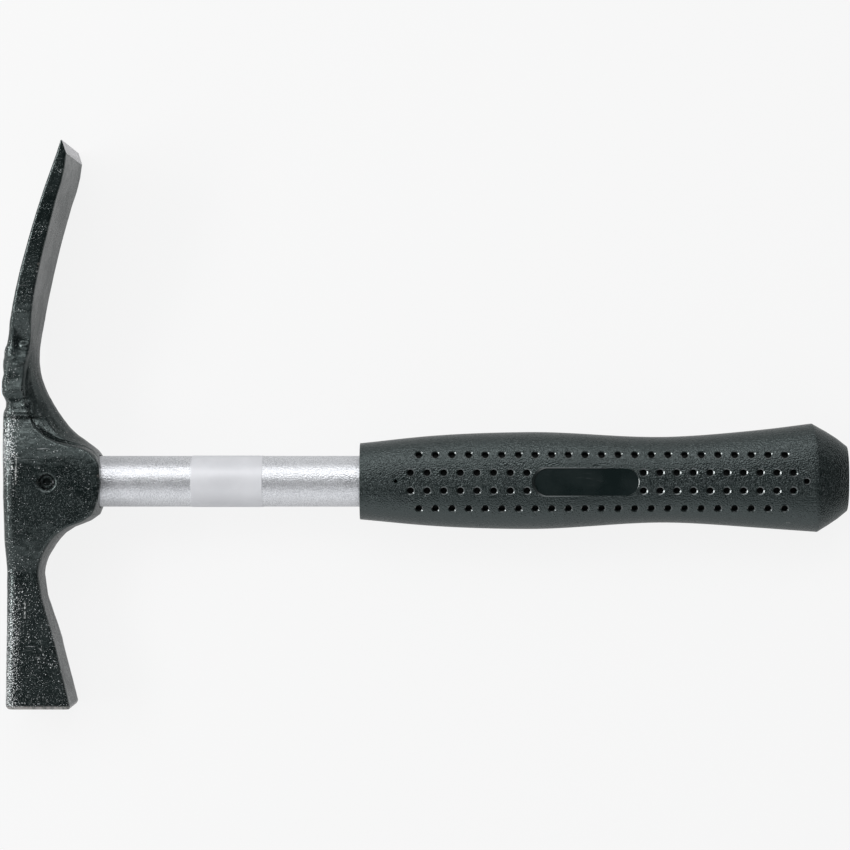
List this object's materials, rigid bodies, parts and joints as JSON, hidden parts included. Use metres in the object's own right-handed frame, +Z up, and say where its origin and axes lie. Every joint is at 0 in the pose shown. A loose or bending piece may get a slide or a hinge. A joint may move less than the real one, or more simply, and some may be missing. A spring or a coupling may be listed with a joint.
{
  "type": "chisel-edge rock hammer",
  "caption": "Forged hammer with a wide chisel blade and a square striking poll, pinned to a steel tube handle with a moulded soft grip.",
  "frame": {"origin": "middle of the footprint, on the surface that the hammer lies on", "axes": "+X along the handle from the head towards the butt, +Y along the surface towards the chisel blade's cutting edge, +Z up"},
  "size_m": [0.3148, 0.2112, 0.0443],
  "materials": {
    "forged_head": "black lacquer over as-forged steel, satin, with a bare ground bevel at the cutting edge",
    "tube_steel": "satin zinc-plated steel tube",
    "pin_steel": "steel under the same black lacquer as the head",
    "plug_plastic": "plain moulded plastic, hidden in the grip",
    "grip_soft": "soft black moulded plastic, fine satin grain, with rows of round dimples",
    "label_film": "blank silver-white film label"
  },
  "bodies": {
    "root": {"hammer_head": "forged_head", "shaft_tube": "tube_steel", "cross_pin": "pin_steel", "eye_plug": "pin_steel", "tube_end_plug": "plug_plastic", "grip_sleeve": "grip_soft", "handle_label": "label_film"}
  },
  "joints": []
}
